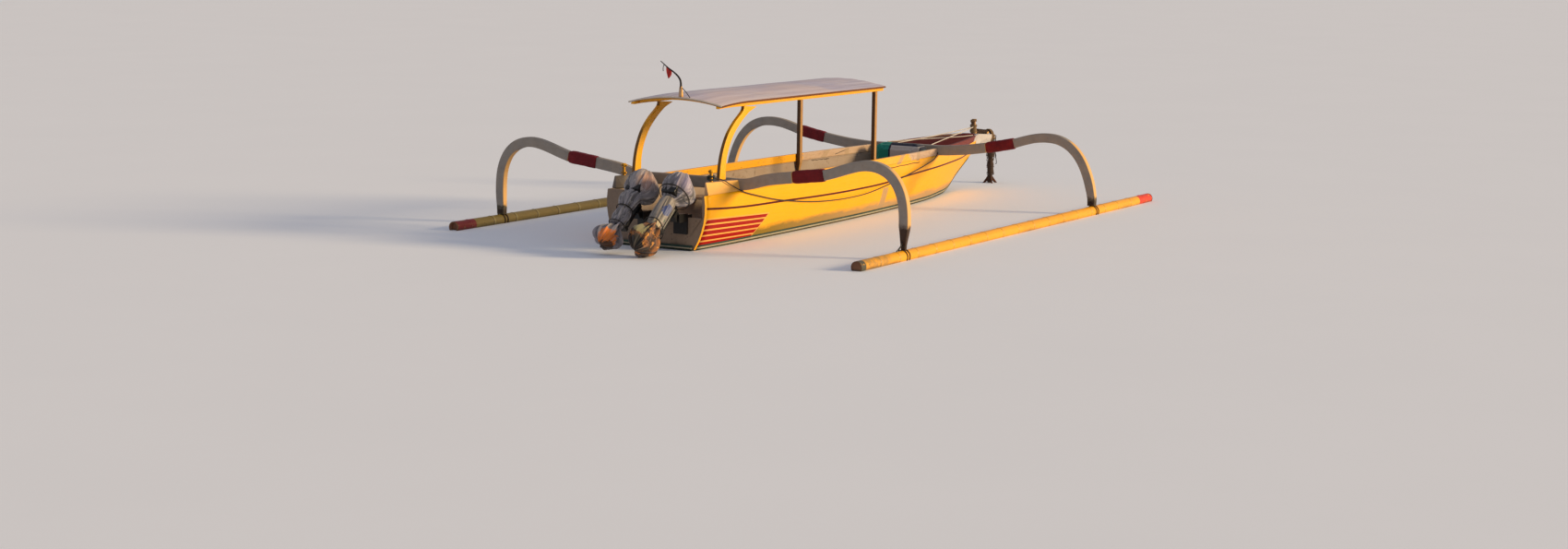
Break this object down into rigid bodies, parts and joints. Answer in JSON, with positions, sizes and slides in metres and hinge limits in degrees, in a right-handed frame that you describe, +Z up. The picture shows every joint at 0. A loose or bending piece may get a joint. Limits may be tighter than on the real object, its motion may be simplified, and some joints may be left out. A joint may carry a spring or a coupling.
{
  "type": "outrigger canoe",
  "caption": "Wooden outrigger canoe with a bamboo float on curved arms each side, a roof on posts, and tilting, steering outboard motors on the stern.",
  "frame": {"origin": "on the centreline amidships, at the height of the waterline", "axes": "+X towards the bow, +Y to port, +Z up"},
  "size_m": [8.9528, 5.1286, 2.0432],
  "materials": {
    "yellow_paint": "gloss paint",
    "white_paint": "satin paint",
    "grey_paint": "matte paint",
    "inner_paint": "matte paint",
    "maroon_paint": "satin paint",
    "underbody_paint": "matte paint",
    "bamboo": "satin",
    "bamboo_yellow": "gloss paint",
    "roof_panel": "weathered",
    "cushion_cloth": "woven",
    "rope": "laid rope",
    "black_metal": "satin",
    "cover_cloth": "woven",
    "rag_cloth": "woven",
    "rusty_iron": "rusted",
    "flag_cloth": "woven"
  },
  "bodies": {
    "hull": {"anchor": "rusty_iron", "anchor_lashing": "rag_cloth", "arm_aft_port": "grey_paint", "arm_aft_starboard": "grey_paint", "arm_fore_port": "grey_paint", "arm_fore_starboard": "grey_paint", "beak": "white_paint", "bow_bulkhead": "inner_paint", "bow_cushion": "cushion_cloth", "bow_post": "rope", "bow_rail_port": "white_paint", "bow_rail_starboard": "white_paint", "bow_seat": "inner_paint", "bow_spar": "grey_paint", "clamp_port": "black_metal", "clamp_starboard": "black_metal", "crossbeam_aft": "grey_paint", "crossbeam_fore": "grey_paint", "curved_post_port": "yellow_paint", "curved_post_starboard": "yellow_paint", "flag": "flag_cloth", "flag_staff": "black_metal", "float_port": "bamboo", "float_starboard": "bamboo_yellow", "floorboards": "inner_paint", "fore_post_port": "yellow_paint", "fore_post_starboard": "yellow_paint", "foredeck": "maroon_paint", "gunwale_port": "yellow_paint", "gunwale_starboard": "yellow_paint", "quarter_block_port": "white_paint", "quarter_block_starboard": "white_paint", "roof_beam_port": "yellow_paint", "roof_beam_starboard": "yellow_paint", "roof_sheet": "roof_panel", "side_rope": "rope", "sleeve_aft_port": "maroon_paint", "sleeve_aft_starboard": "maroon_paint", "sleeve_fore_port": "maroon_paint", "sleeve_fore_starboard": "maroon_paint", "stern_post_port": "yellow_paint", "stern_post_starboard": "yellow_paint", "thwart_1": "inner_paint", "thwart_2": "inner_paint", "topside_port": "yellow_paint", "topside_starboard": "yellow_paint", "transom": "grey_paint", "underbody": "underbody_paint"},
    "port_swivel": {"swivel_port": "black_metal"},
    "port_motor": {"leg_port": "black_metal", "powerhead_port": "black_metal", "motor_cover_port": "cover_cloth", "propeller_bag_port": "cover_cloth"},
    "starboard_swivel": {"swivel_starboard": "black_metal"},
    "starboard_motor": {"leg_starboard": "black_metal", "powerhead_starboard": "black_metal", "motor_cover_starboard": "cover_cloth", "propeller_bag_starboard": "rag_cloth"}
  },
  "joints": [
    {"name": "tilt_port", "type": "hinge", "parent": "hull", "child": "port_swivel", "pos_m": [-3.78, 0.118, 0.36], "axis": [0, 1, 0], "range_deg": [-50, 6]},
    {"name": "steering_port", "type": "hinge", "parent": "port_swivel", "child": "port_motor", "pos_m": [-3.82371, 0.118, 0.41209], "axis": [0.766, 0, 0.6428], "range_deg": [-35, 35]},
    {"name": "tilt_starboard", "type": "hinge", "parent": "hull", "child": "starboard_swivel", "pos_m": [-3.78, -0.322, 0.36], "axis": [0, 1, 0], "range_deg": [-50, 6]},
    {"name": "steering_starboard", "type": "hinge", "parent": "starboard_swivel", "child": "starboard_motor", "pos_m": [-3.82371, -0.322, 0.41209], "axis": [0.766, 0, 0.6428], "range_deg": [-35, 35]}
  ],
  "couplings": [
    {"joint": "steering_starboard", "follows": "steering_port", "ratio": 1}
  ]
}
